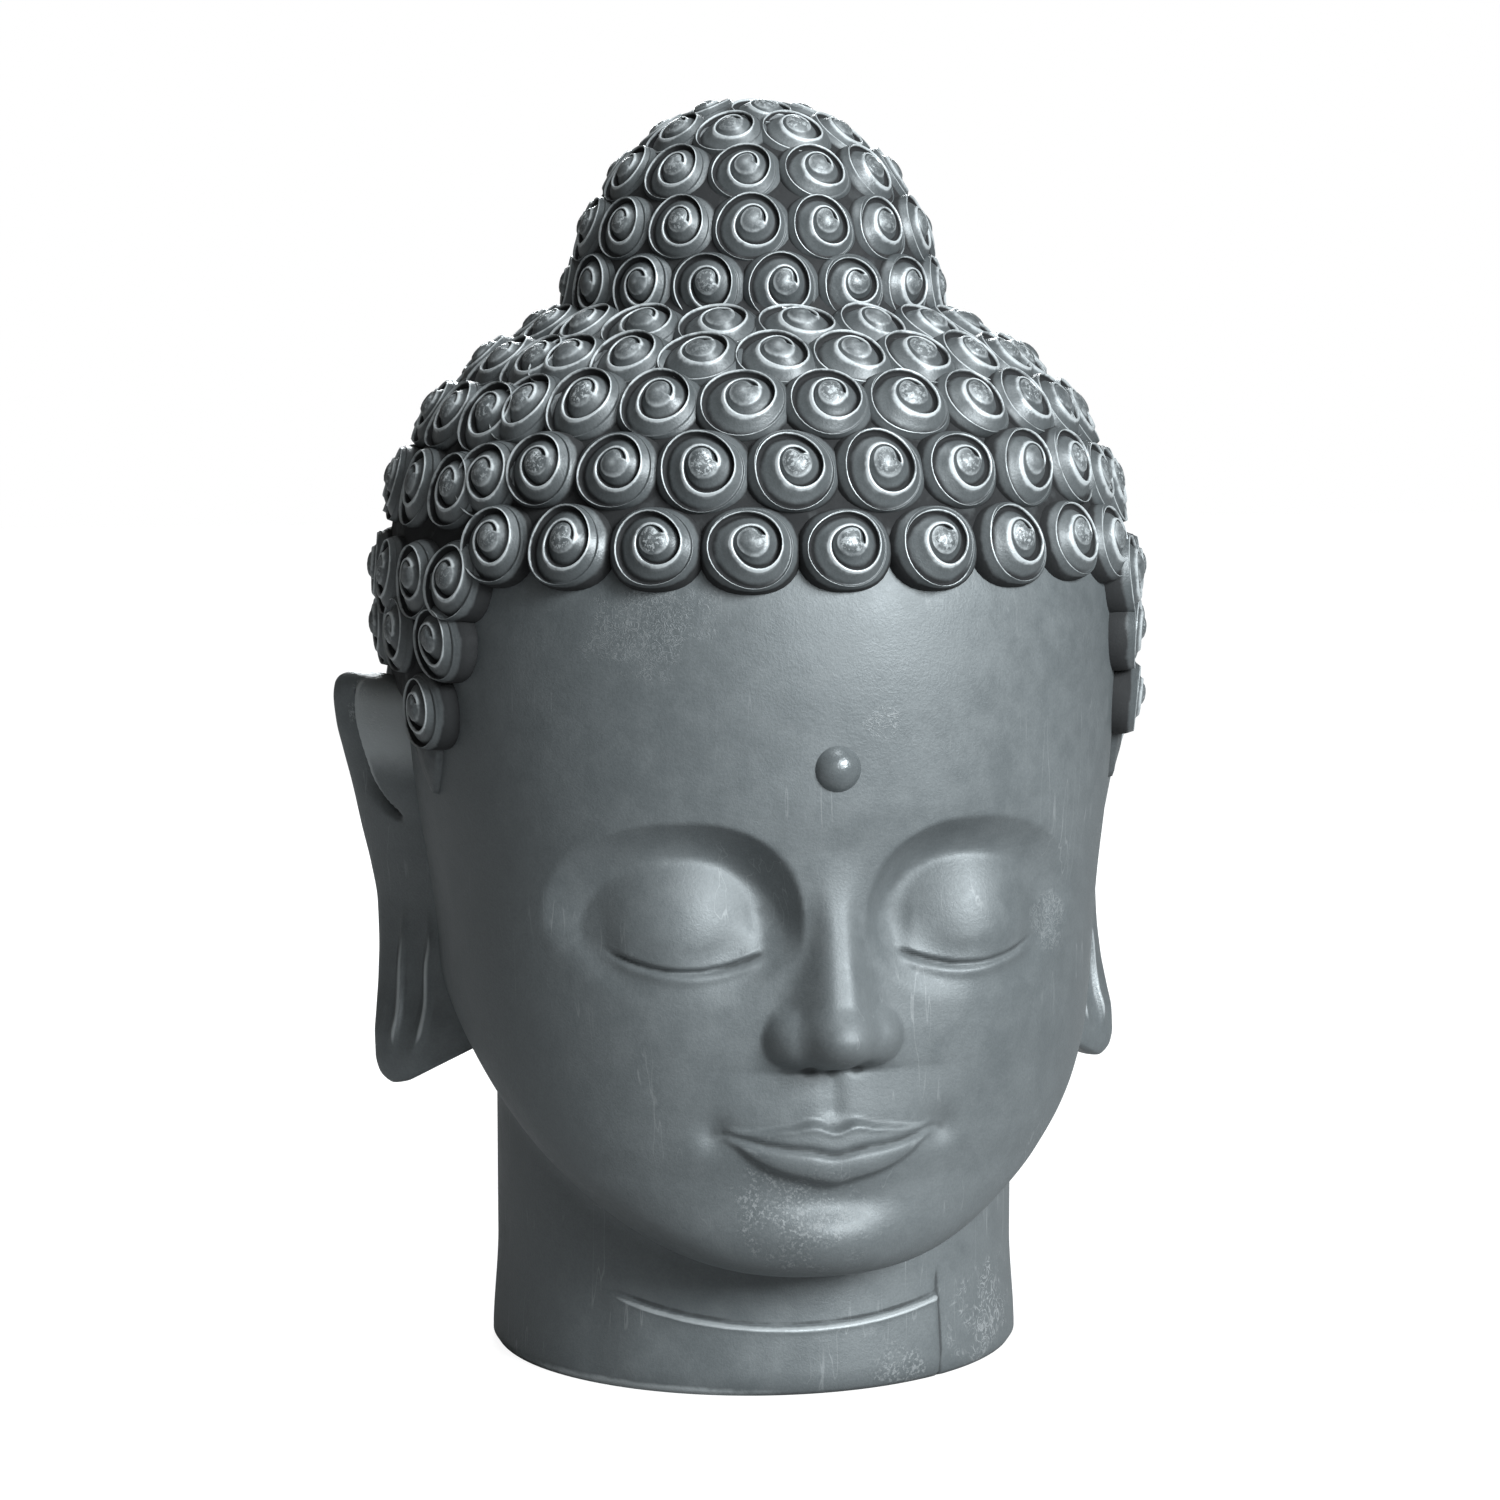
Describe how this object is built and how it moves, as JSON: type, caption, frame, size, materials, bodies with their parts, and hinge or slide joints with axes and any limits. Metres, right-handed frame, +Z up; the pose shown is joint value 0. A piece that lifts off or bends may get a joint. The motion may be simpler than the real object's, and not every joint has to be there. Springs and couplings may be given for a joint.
{
  "type": "buddha head garden statue",
  "caption": "Life-size-plus garden bust of a calm head with snail curls, topknot and long ears, cut flat below the neck.",
  "frame": {"origin": "centre of the neck's flat underside, on the ground", "axes": "+Z up, the face looks along -Y, +X is on the right of a viewer who faces the statue"},
  "size_m": [0.47, 0.4808, 0.6997],
  "materials": {
    "lead_grey": "satin lead-grey paint over fibre-reinforced casting, rubbed lighter on ridges"
  },
  "bodies": {
    "root": {"buddha_head": "lead_grey"}
  },
  "joints": []
}
